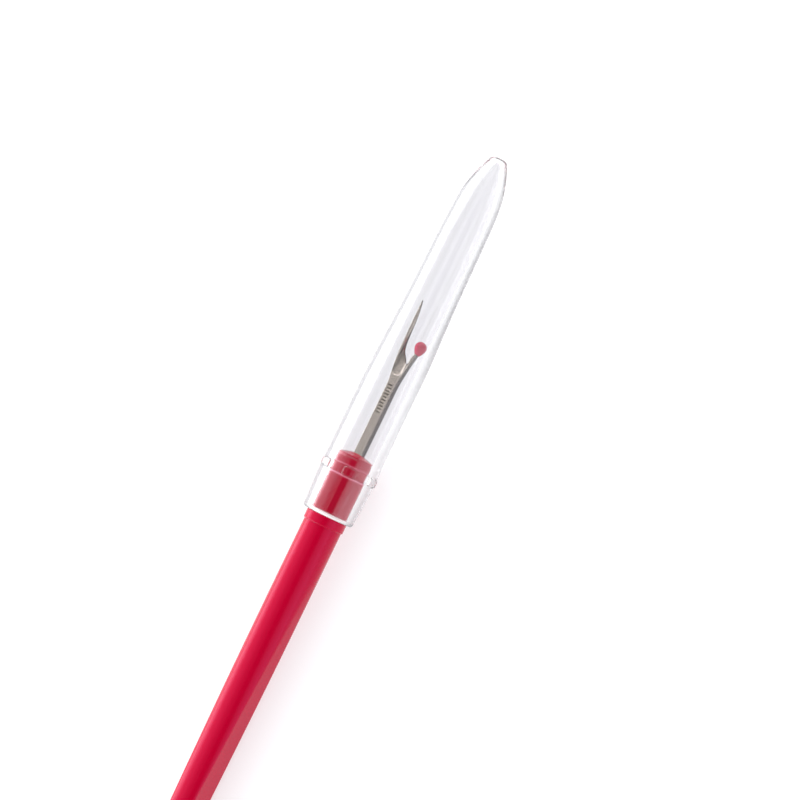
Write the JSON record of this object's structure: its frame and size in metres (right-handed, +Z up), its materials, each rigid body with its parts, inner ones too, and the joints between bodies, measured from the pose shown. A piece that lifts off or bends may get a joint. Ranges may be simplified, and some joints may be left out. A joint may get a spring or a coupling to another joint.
{
  "type": "seam ripper",
  "caption": "Pocket seam ripper: slim tapering handle, steel fork with a ball-guarded short prong and a ground edge between the prongs, and a clear push-on cap with anti-roll lugs.",
  "frame": {"origin": "on the table, under the middle of the capped tool", "axes": "+X along the tool from the handle's tail towards the cap's tip, +Z up; the fork lies flat, its ground face up and its ball on the -Y side"},
  "size_m": [0.1328, 0.01, 0.0098],
  "materials": {
    "handle": "glossy crimson moulding",
    "blade": "satin nickel-plated steel",
    "ball_tip": "glossy crimson plastic",
    "cap": "clear polished plastic"
  },
  "bodies": {
    "ripper": {"handle": "handle", "blade": "blade", "ball_tip": "ball_tip"},
    "cap": {"cap": "cap"}
  },
  "joints": [
    {"name": "cap_pull", "type": "slide", "parent": "ripper", "child": "cap", "axis": [1, 0, 0], "range_m": [0, 0.05]}
  ]
}
